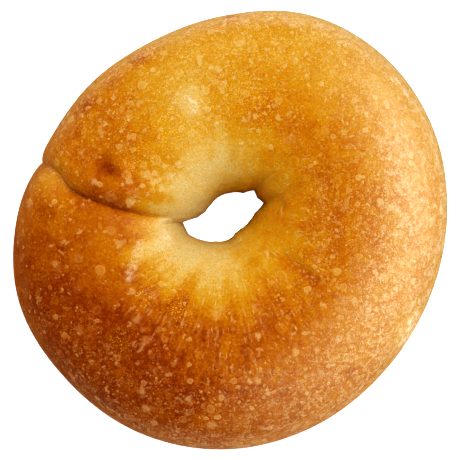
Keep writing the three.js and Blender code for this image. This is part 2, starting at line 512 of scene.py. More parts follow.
outer = ease(across, *OUTER_SIDE)
browning = browning - FLANK_PALER * ease(skin_z, *FLANK_LEVELS) * outer
browning = browning + EDGE_BROWNING * ease(skin_z, *EDGE_LEVELS) * outer
browning = blend(browning, BASE_BROWNING, ease(skin_z, *BASE_LEVELS))
print("browning:", span(browning, 2))

# %% [markdown]
# ## Patches of browning and of painted light
# No bagel browns by rule alone. A lobe that rose higher is darker, a hollow or a spot that lay
# in another bagel's shade is paler, and sugar that gathers in the seam and the creases burns; the
# seam and the crease are also darkened with painted shade. A few patches are painted light: two
# pale ones are painted highlights, and two dark ones beside the seam are partly painted shade
# under the lapping lobe. Noise would strew such patches at random. Here each is a soft hump at
# its own place, so that this bagel has its own face, and noise comes on top of them in the
# material.

# %% Patches of browning and of painted light
# Each has its middle, its reach and its change. The pale ones at (44, -24) and (-10.3, 30.6) are
# painted highlights, and the dark ones at (-32.5, 9.6) and (-28.5, 7.2) are partly painted shade
# under the lapping lobe.
BROWNING_AND_LIGHT_PATCHES = [
    (-12, 30, 15, -0.24), (-9, 17, 9, -0.16), (-30.6, 15.7, 2.2, 0.20), (-29.6, 14.9, 0.9, 0.22),
    (-27.4, 14.0, 1.5, 0.16), (44, -24, 5, -0.30), (-43, 11, 7, -0.08), (-46, 12, 4, -0.16),
    (-1, 19, 7, -0.12), (-10.3, 30.6, 4.5, -0.28), (-17, 11.5, 4.0, 0.12), (-32.5, 9.6, 2.6, 0.12),
    (-28.5, 7.2, 2.2, 0.11), (30, -35, 1.6, 0.25), (-30, 36, 2.4, 0.14), (-36, 31, 2.8, 0.12),
    (-38, 24, 2.0, 0.08), (-23, 42.5, 3.0, 0.26), (-33, 31.5, 2.5, 0.12), (0, 53, 2.5, 0.32),
    (-36, -30, 14, 0.19), (-18, -38, 12, 0.07), (46, 5, 14, 0.05), (22, 7, 11, 0.05),
    (-22, 33, 9, 0.08), (26, -26, 15, -0.06), (-26, -12, 9, -0.07), (-19, -5, 5, 0.12),
    (-38, -2, 9, -0.06), (10.5, -24.5, 2.5, 0.07),
]
for x, y, reach, change in BROWNING_AND_LIGHT_PATCHES:
    browning = browning + change * hump(away_from(x, y), reach) * on_top
print("patches of browning:", len(BROWNING_AND_LIGHT_PATCHES))

# %% Stains and painted shade in the seam and the crease
# Partly stain, partly painted shade: the seam's line is darkened where the lapping lobe shades it,
# and the crease's line is painted shade.
SEAM_STAIN_AND_SHADE = dict(gap=-0.3, reach=0.6, change=0.22)
# The seam's stain and painted shade start clear of the hole and are down to this share at the rim.
SEAM_SHADE_START = (0.08, 0.30)
SEAM_SHADE_END = (0.70, 0.90)
RIM_SEAM_SHADE = 0.5
CREASE_SHADE = dict(start=(12.5, -6.6), end=(20.5, -12.2), reach=1.6, change=0.15)

seam_stain_and_shade = SEAM_STAIN_AND_SHADE["change"] * hump(seam_gap - SEAM_STAIN_AND_SHADE["gap"], SEAM_STAIN_AND_SHADE["reach"])
seam_stain_and_shade = seam_stain_and_shade * ease(across, *SEAM_SHADE_START)
seam_stain_and_shade = seam_stain_and_shade * blend(1, RIM_SEAM_SHADE, ease(across, *SEAM_SHADE_END))
crease_gap = distance_to_line(plan_x, plan_y, CREASE_SHADE["start"], CREASE_SHADE["end"])
crease_shade = CREASE_SHADE["change"] * hump(crease_gap, CREASE_SHADE["reach"])
browning = np.clip(browning + (seam_stain_and_shade + crease_shade) * on_top, 0, 1)
print(f"darkest stain: {(seam_stain_and_shade + crease_shade).max():.2f}")

# %% [markdown]
# ## Where the skin is rough or dry, and where light is painted
# The rest of the skin's finish also needs a place. Small blisters crowd on the flanks, where the
# skin stretched most as it rose, and are few on the crown. Round the hole the skin drew out into
# streaks instead. The right flank and the rim have a pale haze, partly dry skin and partly
# painted sheen. A few patches dried to flakes, others are painted highlights, and here and there
# golden glints are painted highlights. One noise could mask each of them, but noise doesn't know
# the flank from the crown. So each is a number a point too.

# %% Share of small blisters
CROWN_BLISTERING = 0.50
FLANK_BLISTERING = 1.0
CROWN_TO_FLANK = (0.50, 0.85)
MOST_BLISTERING = 1.3
# Each has its middle, its reach and its change.
BLISTER_PATCHES = [
    (0, -42, 22, 0.1), (26, 2, 22, 0.8), (-22, 22, 14, 0.4), (-2, 40, 16, 0.6),
    (-40, -20, 20, -0.1), (-52, -5, 14, -0.5), (-30, -8, 12, 0.2), (-30.4, 15.6, 3.5, -0.8),
]

blistering = blend(CROWN_BLISTERING, FLANK_BLISTERING, ease(across, *CROWN_TO_FLANK))
for x, y, reach, change in BLISTER_PATCHES:
    blistering = blistering + change * hump(np.hypot(plan_x - x, plan_y - y), reach)
blistering = np.clip(blistering, 0, MOST_BLISTERING) * on_top * clear_of_hole
print(f"small blisters, mean share: {blistering.mean():.2f}")

# %% Streaks round the hole
STREAKING = dict(mean=0.60, swing=0.40, towards=255)
STREAK_START = (9, 16)
STREAK_END = 30
STREAK_FADE = 12
# The streaks reach further out towards this bearing.
FRONT = 270
FRONT_STREAKS = 20

streak_end = STREAK_END + FRONT_STREAKS * np.maximum(np.cos(np.radians(bent - FRONT)), 0) ** 2
streaking = ease(radius, *STREAK_START) * ease(radius, streak_end, streak_end - STREAK_FADE)
streaking = streaking * level_round_ring(STREAKING) * on_top
print(f"streaks reach, mm: {streak_end.max():.0f}")

# %% Haze and painted sheen on the flank and the rim
# Painted sheen in part: the pale haze is paler skin, and also a painted sheen on the lit right
# flank and a painted grazing sheen along the rim's edge.
FLANK_HAZE_AND_SHEEN = dict(mean=-0.15, swing=0.65, towards=-17)
EDGE_HAZE_AND_SHEEN = dict(mean=0.40, swing=0.36, towards=20)
FLANK_ACROSS = (0.50, 0.80)
EDGE_ACROSS = (0.88, 0.97)

haze_and_sheen = ease(across, *FLANK_ACROSS) * np.maximum(level_round_ring(FLANK_HAZE_AND_SHEEN), 0)
haze_and_sheen = np.maximum(haze_and_sheen, ease(across, *EDGE_ACROSS) * level_round_ring(EDGE_HAZE_AND_SHEEN)) * on_top
print(f"most haze: {haze_and_sheen.max():.2f}")

# %% Dry patches, painted highlights and painted glints
# Dry patches and painted highlights: those from (46, -21.8), (-11, 31.4), (-15.5, -1) and (40, 22)
# are painted highlights, the one from (-21.9, -3.6) is a dry patch with a painted highlight on it,
# and the rest are dry skin.
DRY_AND_HIGHLIGHT_PATCHES = [
    dict(start=(-21.9, -3.6), end=(-24.6, -11.6), reach=1.4, amount=0.48),
    dict(start=(46.0, -21.8), end=(43.2, -27.6), reach=1.9, amount=1.0),
    dict(start=(34.0, -29.0), end=(39.0, -31.0), reach=2.5, amount=0.3),
    dict(start=(-11.0, 31.4), end=(-9.3, 30.2), reach=1.9, amount=0.85),
    dict(start=(-46.0, 13.5), end=(-43.0, 10.8), reach=2.6, amount=0.10),
    dict(start=(-15.5, -1.0), end=(-14.5, -3.5), reach=1.2, amount=0.7),
    dict(start=(40.0, 22.0), end=(43.5, 2.0), reach=4.5, amount=0.38),
]
# A patch's edge lies between these heights of its hump.
PATCH_EDGE = (0.20, 0.65)
# Painted glints: tiny golden highlights, painted where a lamp would glint off the crown. Each has
# its middle and its reach.
PAINTED_GLINT_PATCHES = [
    (-15.3, 25.3, 5), (-24.3, 18.0, 4.5), (-21.1, -15.7, 2.5),
    (-12.8, -19.2, 4), (-27.3, -27.7, 3), (6.5, 31, 6),
]

dryness_and_highlight = np.zeros(girth_share.shape)
for patch in DRY_AND_HIGHLIGHT_PATCHES:
    away = distance_to_line(plan_x, plan_y, patch["start"], patch["end"])
    dry_and_lit_here = patch["amount"] * ease(hump(away, patch["reach"]), *PATCH_EDGE) * on_top
    dryness_and_highlight = np.maximum(dryness_and_highlight, dry_and_lit_here)
painted_glint_places = sum(hump(np.hypot(plan_x - x, plan_y - y), reach) for x, y, reach in PAINTED_GLINT_PATCHES)
painted_glint_places = np.clip(painted_glint_places, 0, 1) * on_top
print("dry patches:", len(DRY_AND_HIGHLIGHT_PATCHES), "and glittering ones:", len(PAINTED_GLINT_PATCHES))

# %% [markdown]
# ## The mesh
# The arrays go into the mesh in one go, which is far quicker than adding points one by one. The
# map "skin" unrolls the ring: its first way runs round the ring from the seam, its second round
# the section from the base's middle, so that a pattern's joins fall in the seam's crease and
# under the bagel.

# %% A closed grid as a mesh
def closed_grid_faces(stations, steps):
    """Four corners of each face of a grid that joins up both ways, facing out."""
    here = np.arange(stations)[:, None]
    step = np.arange(steps)[None, :]
    there = (here + 1) % stations
    up = (step + 1) % steps
    corners = [here * steps + step, there * steps + step, there * steps + up, here * steps + up]
    corners = [np.broadcast_to(corner, (stations, steps)) for corner in corners]
    return np.stack(corners, axis=-1).reshape(-1, 4)


def grid_mesh(name, x, y, z):
    """A mesh object from three grids of coordinates in metres."""
    stations, steps = x.shape
    points = np.stack([x, y, z], axis=-1).reshape(-1, 3).astype(np.float32)
    faces = closed_grid_faces(stations, steps).astype(np.int32)
    mesh = bpy.data.meshes.new(name)
    mesh.vertices.add(len(points))
    mesh.vertices.foreach_set("co", points.ravel())
    mesh.loops.add(faces.size)
    mesh.loops.foreach_set("vertex_index", faces.ravel())
    mesh.polygons.add(len(faces))
    mesh.polygons.foreach_set("loop_start", np.arange(0, faces.size, 4, dtype=np.int32))
    mesh.update(calc_edges=True)
    mesh.validate()
    mesh.shade_smooth()
    made = bpy.data.objects.new(name, mesh)
    bpy.context.collection.objects.link(made)
    return made


bagel = grid_mesh("bagel_dough", skin_x * MM, skin_y * MM, skin_z * MM)
print("faces:", len(bagel.data.polygons))

# %% Its attributes and its unrolled map
def add_attribute(piece, name, values):
    """A number at each point of the piece, for its material to read."""
    made = piece.data.attributes.new(name, "FLOAT", "POINT")
    made.data.foreach_set("value", values.astype(np.float32).ravel())


def add_unrolled_map(piece, name, u, v):
    """The map's corners: the last row and column end at 1 where the grid joins."""
    stations, steps = u.shape
    far_u = np.vstack([u[1:], np.ones((1, steps))])
    far_v = np.hstack([v[:, 1:], np.ones((stations, 1))])
    next_v = np.roll(v, -1, axis=0)
    next_far_v = np.roll(far_v, -1, axis=0)
    corners = [(u, v), (far_u, next_v), (far_u, next_far_v), (u, far_v)]
    corners = [np.stack(corner, axis=-1) for corner in corners]
    made = piece.data.uv_layers.new(name=name)
    made.data.foreach_set("uv", np.stack(corners, axis=2).astype(np.float32).ravel())


# Among these numbers the haze is partly painted sheen, the dryness partly painted highlights, and
# the glitter painted glints.
skin_numbers = {
    "browning": browning, "blister": blister_tone, "blistering": blistering, "haze_and_sheen": haze_and_sheen,
    "dryness_and_highlight": dryness_and_highlight, "painted_glint_places": painted_glint_places, "streaking": streaking,
}
for name, values in skin_numbers.items():
    add_attribute(bagel, name, values)
add_unrolled_map(bagel, "skin", ring_share, girth_share)
print("numbers at each point:", ", ".join(skin_numbers))

# %% [markdown]
# ## Crust
# The crust's colour follows the browning along one ramp, from cream through gold and orange to
# dark brown, as sugar does when it caramelises. Noises from clouds down to grain unsettle the
# browning before it reaches the ramp, and blisters, wrinkles and specks make it a step paler;
# the specks partly paint tiny highlights. Pale skin and dry flakes then lie over the ramp's
# colour as veils, partly painting sheen and highlights, and painted golden glints go on top.
#
# An image of a real crust would be quicker, but it would stretch and repeat. A material of
# nodes is as fine as one looks. The nodes are built in steps, with a few helpers first.

# %% Helpers for nodes
def add_node(tree, kind, links=None, **settings):
    """A node with its settings made and its named inputs linked or set."""
    made = tree.nodes.new(kind)
    for name, value in settings.items():
        setattr(made, name, value)
    for name, value in (links or {}).items():
        if isinstance(value, bpy.types.NodeSocket):
            tree.links.new(value, made.inputs[name])
        else:
            made.inputs[name].default_value = value
    return made


def calculate(operation, *values):
    """A Math node's result, in the tree that its sockets belong to."""
    tree = next(value.id_data for value in values if isinstance(value, bpy.types.NodeSocket))
    made = add_node(tree, "ShaderNodeMath", dict(enumerate(values)), operation=operation)
    return made.outputs[0]


def vector_math(operation, parts):
    """A Vector Math node's result, in the tree that its first part belongs to."""
    made = add_node(parts[0].id_data, "ShaderNodeVectorMath", parts, operation=operation)
    return made.outputs[0]


def multiply(value, factor):
    """The product of two values, one or both of them a node's."""
    return calculate("MULTIPLY", value, factor)


def most(value, other):
    """The larger of two values at each point."""
    return calculate("MAXIMUM", value, other)


def between(share, at_none, at_full):
    """A number that goes from one value to the other as the share goes from 0 to 1."""
    return calculate("MULTIPLY_ADD", share, at_full - at_none, at_none)


def above(value, threshold):
    """How far a value lies above a threshold, or 0."""
    return most(calculate("SUBTRACT", value, threshold), 0.0)


def soft_step(value, start, end):
    """0 before start and 1 past end, easing in and out between."""
    limits = {"Value": value, "From Min": start, "From Max": end}
    made = add_node(value.id_data, "ShaderNodeMapRange", limits, interpolation_type="SMOOTHSTEP")
    return made.outputs["Result"]


def weighted(parts, start=0.0):
    """The start, plus each value times its weight."""
    total = start
    for value, weight in parts:
        total = calculate("MULTIPLY_ADD", value, weight, total)
    return total


def new_group(name, inputs, outputs):
    """An empty shader node group with number or vector sockets, and its two ends."""
    group = bpy.data.node_groups.new(name, "ShaderNodeTree")
    for label, kind in inputs.items():
        group.interface.new_socket(label, in_out="INPUT", socket_type=kind)
    for label, kind in outputs.items():
        group.interface.new_socket(label, in_out="OUTPUT", socket_type=kind)
    return group, group.nodes.new("NodeGroupInput"), group.nodes.new("NodeGroupOutput")


print("node helpers for Blender", bpy.app.version_string)

# %% [markdown]
# ## Small blisters
# Blisters under a millimetre or two are too many to model, so they are discs in the material,
# with a height for the bump. A Voronoi texture strews points in space. A disc is where the skin
# passes closer to one of them than that point's own reach, and the point's random colour picks
# its size, whether it is there, and how pale it is. Flattened bubbles keep a pale ring at their
# edge. One node group makes them, and it is used once for each size.

# %% Small blisters as a node group
DISC_RANDOMNESS = 0.9
SMALLEST_DISC = 0.22
LARGEST_DISC = 0.48
DISC_EDGE = 0.75
FAINTEST_DISC = 0.15
# Powers of the distance, for the ring at a disc's edge and for its domed height.
RING_POWER = 5.0
DOME_POWER = 3.0

NUMBER = "NodeSocketFloat"
small_blisters, given, result = new_group(
    "small_blisters",
    inputs={
        "Vector": "NodeSocketVector", "Cell": NUMBER, "Share": NUMBER,
        "Rarity": NUMBER, "Ring": NUMBER,
    },
    outputs={"Height": NUMBER, "Tone": NUMBER},
)
density = calculate("DIVIDE", 1.0, given.outputs["Cell"])
cells = add_node(small_blisters, "ShaderNodeTexVoronoi", {
    "Vector": given.outputs["Vector"], "Scale": density, "Randomness": DISC_RANDOMNESS})
pick = add_node(small_blisters, "ShaderNodeSeparateColor", {"Color": cells.outputs["Color"]})
reach = between(pick.outputs["Red"], SMALLEST_DISC, LARGEST_DISC)
part = calculate("DIVIDE", cells.outputs["Distance"], reach)
disc = soft_step(part, 1.0, DISC_EDGE)
there = calculate("LESS_THAN", pick.outputs["Green"], given.outputs["Share"])
disc = multiply(disc, there)
strength = calculate("POWER", pick.outputs["Blue"], given.outputs["Rarity"])
strength = between(strength, FAINTEST_DISC, 1.0)
print("small_blisters:", len(small_blisters.nodes), "nodes up to the disc")

# %% Their tone and their height
ring = calculate("POWER", part, RING_POWER)
ring = multiply(ring, given.outputs["Ring"])
ring = calculate("ADD", ring, strength)
disc_tone = multiply(disc, ring)
small_blisters.links.new(disc_tone, result.inputs["Tone"])

dome = calculate("POWER", part, DOME_POWER)
dome = multiply(disc, calculate("SUBTRACT", 1.0, dome))
dome = multiply(dome, strength)
small_blisters.links.new(dome, result.inputs["Height"])
print("small_blisters:", len(small_blisters.nodes), "nodes")

# %% [markdown]
# ## Noises of the crust
# Most noises are in space, in millimetres, so that they know no seam. The streaks and strokes
# round the hole follow the unrolled map instead, squeezed along the section so that they draw
# out from the hole to the rim.

# %% The material and its places
PATTERN_ROUND = 2 * math.pi * EVEN_RADIUS
PATTERN_GIRTH = float(girth.mean())

crust = bpy.data.materials.new("baked_crust")
crust.use_nodes = True
crust_tree = crust.node_tree
crust_shader = crust_tree.nodes["Principled BSDF"]

unrolled = add_node(crust_tree, "ShaderNodeUVMap", uv_map="skin").outputs["UV"]
skin_mm = vector_math("MULTIPLY", {0: unrolled, 1: (PATTERN_ROUND, PATTERN_GIRTH, 1)})
place_m = add_node(crust_tree, "ShaderNodeTexCoord").outputs["Object"]
place_mm = vector_math("SCALE", {0: place_m, "Scale": 1 / MM})
print("the map is, mm:", round(PATTERN_ROUND), "round by", round(PATTERN_GIRTH), "of girth")

# %% Noises, from clouds to grain
# Swells a millimetre of each.
CLOUDS_PER_MM = 0.16
MOTTLE_PER_MM = 0.55
FOLDS_PER_MM = 0.9
COBBLES_PER_MM = 0.9
STREAKS_PER_MM = 1.0
SPECKLE_PER_MM = 1.3
GRAIN_PER_MM = 3.2
NOISE_DETAIL = 2.0
NOISE_ROUGHNESS = 0.6
# The map is squeezed to this share along the section, so that streaks draw out that way.
STREAK_SQUEEZE = 0.28
# Noise bends streaks and cobbles this far, in millimetres.
STREAK_BEND = 0.9
COBBLE_BEND = 0.8


def noise(place, per_mm):
    """Smooth noise with this many swells a millimetre."""
    return add_node(place.id_data, "ShaderNodeTexNoise", {
        "Vector": place, "Scale": per_mm, "Detail": NOISE_DETAIL, "Roughness": NOISE_ROUGHNESS})


def shifted(place, pattern, reach):
    """The place moved by a noise's colour, up to this reach each way."""
    return vector_math("MULTIPLY_ADD", {0: pattern.outputs["Color"], 1: (reach,) * 3, 2: place})


clouds = noise(place_mm, CLOUDS_PER_MM)
mottle = noise(place_mm, MOTTLE_PER_MM)
speckle = noise(place_mm, SPECKLE_PER_MM)
grain = noise(place_mm, GRAIN_PER_MM)
wrinkle_folds = noise(place_mm, FOLDS_PER_MM)
drawn_out = vector_math("MULTIPLY", {0: skin_mm, 1: (1, STREAK_SQUEEZE, 1)})
drawn_out = shifted(drawn_out, mottle, STREAK_BEND)
streaks = noise(drawn_out, STREAKS_PER_MM)
cobble_place = shifted(place_mm, speckle, COBBLE_BEND)
cobbles = add_node(crust_tree, "ShaderNodeTexVoronoi", {
    "Vector": cobble_place, "Scale": COBBLES_PER_MM})
print("widest noise, mm:", 1 / CLOUDS_PER_MM, "and finest:", round(1 / GRAIN_PER_MM, 2))

# %% Layers of small blisters
# Cell is the width of a cell, in millimetres. Rarity says how rare the strong ones are, ring how
# pale the edge is, tone how pale the whole layer is, and rise how high it is in the bump.
DISC_LAYERS = {
    "bubbles": dict(cell=3.4, rarity=6.0, ring=1.2, tone=0.75, rise=0.16),
    "blebs": dict(cell=2.2, rarity=6.0, ring=1.3, tone=0.85, rise=0.12),
    "clumped": dict(cell=2.1, rarity=1.2, ring=0.15, tone=0.85, rise=0.08),
    "pimples": dict(cell=1.2, rarity=3.0, ring=0.5, tone=0.90, rise=0.09),
    "dots": dict(cell=0.75, rarity=2.5, ring=0.3, tone=0.90, rise=0.06),
    "strokes": dict(cell=0.8, rarity=1.8, ring=0.2, tone=0.80, rise=0.08),
}
# Bubbles and dots are in this share of where small blisters crowd, clumps and strokes in theirs.
FEWER = 0.8
CLUMP_SHARE = 0.75
STROKE_SHARE = 0.55
# Clumps lie where the clouds pass between these values.
CLUMP_CLOUDS = (0.42, 0.58)
# Noise bends the places of the discs this far, in millimetres, so that none is quite round.
MOTTLE_WOBBLE = 0.9
SPECKLE_WOBBLE = 0.35
CLUMP_WOBBLE = 7.0


def read_number(name):
    """One of the skin's numbers, read at each point by the crust's material."""
    return add_node(crust_tree, "ShaderNodeAttribute", attribute_name=name).outputs["Fac"]


def discs(place, share, cell, rarity, ring):
    """A layer of small blisters, present in this share of its cells."""
    return add_node(place.id_data, "ShaderNodeGroup", {
        "Vector": place, "Share": share, "Cell": cell, "Rarity": rarity, "Ring": ring,
    }, node_tree=small_blisters)


crowding = read_number("blistering")
streak_share = read_number("streaking")
wobble = shifted(place_mm, mottle, MOTTLE_WOBBLE)
wobble = shifted(wobble, speckle, SPECKLE_WOBBLE)
in_clumps = soft_step(clouds.outputs["Fac"], *CLUMP_CLOUDS)
clump_share = multiply(crowding, in_clumps)
fewer = multiply(crowding, FEWER)
disc_shares = {
    "bubbles": fewer, "blebs": crowding, "pimples": crowding, "dots": fewer,
    "clumped": multiply(clump_share, CLUMP_SHARE),
    "strokes": multiply(streak_share, STROKE_SHARE),
}
disc_places = dict.fromkeys(DISC_LAYERS, wobble)
disc_places["clumped"] = shifted(wobble, clouds, CLUMP_WOBBLE)
disc_places["strokes"] = drawn_out
layers = {}
for name, made in DISC_LAYERS.items():
    place, share = disc_places[name], disc_shares[name]
    layers[name] = discs(place, share, made["cell"], made["rarity"], made["ring"])
print("layers of small blisters:", ", ".join(layers))

# %% [markdown]
# ## Pale relief on the crust
# Everything that stands proud is paler, because it dried before it browned. So one number, the
# tone, takes the most of all that stands proud at a point: the small blisters, the large ones,
# fine wrinkles where a noise crosses its middle, and specks on the crests of the grain, which
# are partly pale skin and partly painted glistening highlights.

# %% The tone of blisters, wrinkles and specks
# The small blisters' tone where they are sparse and where they crowd.
SPARSE_TONE = 0.75
CROWDED_TONE = 1.10
# A wrinkle's tone on its line, how fast it falls off the line, and the mottle that lets it show.
WRINKLE_TONE = 0.95
WRINKLE_STEEPNESS = 14.0
WRINKLE_MOTTLE = (0.49, 0.58)
# Specks on the grain's crests: partly pale skin, partly painted glistening highlights.
SPECKS_AND_GLISTEN = dict(start=0.56, steepness=5.0)


def crests(pattern, start, steepness):
    """How far a noise rises above the start, times the steepness, or 0."""
    steep = calculate("MULTIPLY_ADD", pattern.outputs["Fac"], steepness, -start * steepness)
    return most(steep, 0.0)


tones = [
    multiply(layer.outputs["Tone"], DISC_LAYERS[name]["tone"])
    for name, layer in layers.items()
]
tone = tones[0]
for other in tones[1:]:
    tone = most(tone, other)
tone = multiply(tone, between(crowding, SPARSE_TONE, CROWDED_TONE))
tone = most(tone, read_number("blister"))

off_middle = calculate("SUBTRACT", wrinkle_folds.outputs["Fac"], 0.5)
off_middle = calculate("ABSOLUTE", off_middle)
wrinkle = calculate("MULTIPLY_ADD", off_middle, -WRINKLE_STEEPNESS, WRINKLE_TONE)
wrinkle = most(wrinkle, 0.0)
in_patches = soft_step(mottle.outputs["Fac"], *WRINKLE_MOTTLE)
wrinkle = multiply(wrinkle, in_patches)
specks_and_glisten = crests(grain, **SPECKS_AND_GLISTEN)
for mark in (wrinkle, specks_and_glisten):
    tone = most(tone, multiply(mark, crowding))
print("tone: the most of", len(tones), "layers, large blisters, wrinkles and specks")

# %% The level that the ramp reads
CLOUDS_SWING = 0.40
MOTTLE_SWING = 0.22
SPECKLE_SWING = 0.34
GRAIN_SWING = 0.28
STREAKS_SWING = 0.38
# Pale dough is more uneven than brown crust.
PALE_UNEVENNESS = 1.55
BROWN_UNEVENNESS = 0.70
TONE_PALER = 0.24


def about_nothing(pattern, strength):
    """A noise moved to swing about 0: strength times its value less a half."""
    return calculate("MULTIPLY_ADD", pattern.outputs["Fac"], strength, -strength / 2)


unevenness = about_nothing(clouds, CLOUDS_SWING)
for pattern, swing in ((mottle, MOTTLE_SWING), (speckle, SPECKLE_SWING), (grain, GRAIN_SWING)):
    unevenness = calculate("ADD", unevenness, about_nothing(pattern, swing))
browned = read_number("browning")
how_uneven = between(browned, PALE_UNEVENNESS, BROWN_UNEVENNESS)
level = calculate("ADD", browned, multiply(unevenness, how_uneven))
streaked = about_nothing(streaks, STREAKS_SWING)
level = calculate("MULTIPLY_ADD", streaked, streak_share, level)
level = calculate("SUBTRACT", level, multiply(tone, TONE_PALER))
unevenness_ratio = PALE_UNEVENNESS / BROWN_UNEVENNESS
print("cream is more uneven than brown crust, times:", round(unevenness_ratio, 1))

# %% [markdown]
# ## Colour of the crust
# Each next stop of the ramp has baked longer: it loses its blue first, then its green. Over the
# ramp's colour lie the veils, pale skin that is thinner over brown crust, and dry flakes that
# are nearly white. The pale skin of the haze is partly painted sheen, and some dry patches are
# painted highlights. Both are patchy, because a fine cobbled noise breaks them up. Painted
# golden glints go on last, and the grain shades all of it. Mixing colours by veils, where one
# ramp could do, keeps dry skin dull and pale without making the brown beneath it yellow.

# %% Veils of pale skin and of dry flakes, partly painted sheen and highlights
# Weights of the noises that break up the haze and its painted sheen, and the values between which
# it breaks.
PATCHY_WEIGHTS = dict(mottle=0.50, speckle=0.30, grain=0.20, cobbles=-0.20)
PATCHY_BREAK = (0.34, 0.51)
# Haze with its painted sheen, and dry patches with their painted highlights, where the noise lets
# through least, and most.
HAZE_AND_SHEEN_RANGE = (0.30, 1.15)
DRY_AND_HIGHLIGHT_RANGE = (0.15, 1.00)
VEIL_START = 0.45
VEIL_SHARE = 0.46
STROKE_VEIL = 0.22
BLISTER_VEIL = 0.20
# The veil of a clump of blisters over cream dough, and over the darkest crust.
CLUMP_VEIL = (0.63, 0.03)
FLAKE_START = 0.25
FLAKE_SHARE = 0.9
DRY_AND_HIGHLIGHT_VEIL = 0.8

patchy = weighted([
    (mottle.outputs["Fac"], PATCHY_WEIGHTS["mottle"]),
    (speckle.outputs["Fac"], PATCHY_WEIGHTS["speckle"]),
    (grain.outputs["Fac"], PATCHY_WEIGHTS["grain"]),
    (cobbles.outputs["Distance"], PATCHY_WEIGHTS["cobbles"]),
])
patchy = soft_step(patchy, *PATCHY_BREAK)
haze_and_sheen_share = read_number("haze_and_sheen")
dried_and_lit = read_number("dryness_and_highlight")
haze_and_sheen_veil = multiply(haze_and_sheen_share, between(patchy, *HAZE_AND_SHEEN_RANGE))
dry_and_lit = multiply(dried_and_lit, between(patchy, *DRY_AND_HIGHLIGHT_RANGE))

pale_and_sheen_veil = weighted([
    (above(tone, VEIL_START), VEIL_SHARE),
    (layers["strokes"].outputs["Tone"], STROKE_VEIL),
    (layers["clumped"].outputs["Tone"], between(browned, *CLUMP_VEIL)),
    (read_number("blister"), BLISTER_VEIL),
], haze_and_sheen_veil)
flakes = multiply(above(tone, FLAKE_START), FLAKE_SHARE)
# The haze's pale veil is partly painted sheen, and the dry patches' veils are partly painted
# highlights.
veils = {
    "pale skin": pale_and_sheen_veil,
    "flakes in the haze": multiply(flakes, haze_and_sheen_share),
    "pale skin of dry patches": multiply(dry_and_lit, DRY_AND_HIGHLIGHT_VEIL),
    "flakes of dry patches": multiply(dry_and_lit, dry_and_lit),
}
print("veils:", ", ".join(veils))

# %% The ramp, the veils, the painted glints and the grain
CRUST_COLOURS = [
    (0.00, (0.71, 0.480, 0.1400)),
    (0.12, (0.72, 0.450, 0.0950)),
    (0.24, (0.70, 0.390, 0.0550)),
    (0.36, (0.66, 0.310, 0.0150)),
    (0.48, (0.62, 0.250, 0.0030)),
    (0.60, (0.58, 0.190, 0.0008)),
    (0.70, (0.52, 0.135, 0.0004)),
    (0.80, (0.44, 0.089, 0.0002)),
    (0.90, (0.34, 0.052, 0.0001)),
    (1.00, (0.21, 0.018, 0.0001)),
]
# Pale skin also paints the haze's sheen, and dry flakes also paint the highlights of some patches.
PALE_SKIN_AND_SHEEN = (0.81, 0.485, 0.170, 1)
DRY_FLAKE_AND_HIGHLIGHT = (0.96, 0.73, 0.46, 1)
PAINTED_GLINT_GOLD = (1.0, 0.55, 0.02, 1)
PAINTED_GLINTS = dict(start=0.60, steepness=12.0)
GRAIN_SHADE = 1.2


def ramp_colour(value, colours):
    """The colour of a ramp through these positions and colours."""
    ramp = add_node(value.id_data, "ShaderNodeValToRGB", {"Fac": value})
    stops = ramp.color_ramp.elements
    while len(stops) < len(colours):
        stops.new(0.5)
    for stop, (position, colour) in zip(stops, colours):
        stop.position = position
        stop.color = (*colour, 1)
    return ramp.outputs["Color"]


def laid_over(under, over, share):
    """The colour under, and another one over it in this share."""
    parts = {"Factor": share, "A": under, "B": over}
    return add_node(under.id_data, "ShaderNodeMix", parts, data_type="RGBA").outputs["Result"]


colour = ramp_colour(level, CRUST_COLOURS)
for share, over in zip(veils.values(), (PALE_SKIN_AND_SHEEN, DRY_FLAKE_AND_HIGHLIGHT, PALE_SKIN_AND_SHEEN, DRY_FLAKE_AND_HIGHLIGHT)):
    colour = laid_over(colour, over, share)
# Painted glints: golden highlights painted on the grain's crests where the glitter patches lie.
painted_glints = calculate("MINIMUM", crests(grain, **PAINTED_GLINTS), 1.0)
painted_glints = multiply(painted_glints, read_number("painted_glint_places"))
colour = laid_over(colour, PAINTED_GLINT_GOLD, painted_glints)
shade = calculate("ADD", 1.0, about_nothing(grain, GRAIN_SHADE))
colour = vector_math("SCALE", {0: colour, "Scale": shade})
crust_tree.links.new(colour, crust_shader.inputs["Base Color"])
print("stops of the ramp:", len(CRUST_COLOURS))

# %% [markdown]
# ## Gloss and bump of the crust
# A boiled crust has a satin shine, and dry patches and painted-highlight patches are duller. The
# finest relief is a bump, because as true relief it would take millions of faces: three noises
# and all the small blisters, in millimetres.

# %% Gloss and bump
CRUST_IOR = 1.45
ROUGHNESS_RANGE = (0.20, 0.40)
DRY_AND_HIGHLIGHT_ROUGHER = 0.15
MOTTLE_RISE = 0.15
SPECKLE_RISE = 0.14
GRAIN_RISE = 0.10

rough = between(speckle.outputs["Fac"], *ROUGHNESS_RANGE)
rough = calculate("MULTIPLY_ADD", dried_and_lit, DRY_AND_HIGHLIGHT_ROUGHER, rough)
crust_tree.links.new(rough, crust_shader.inputs["Roughness"])
crust_shader.inputs["IOR"].default_value = CRUST_IOR

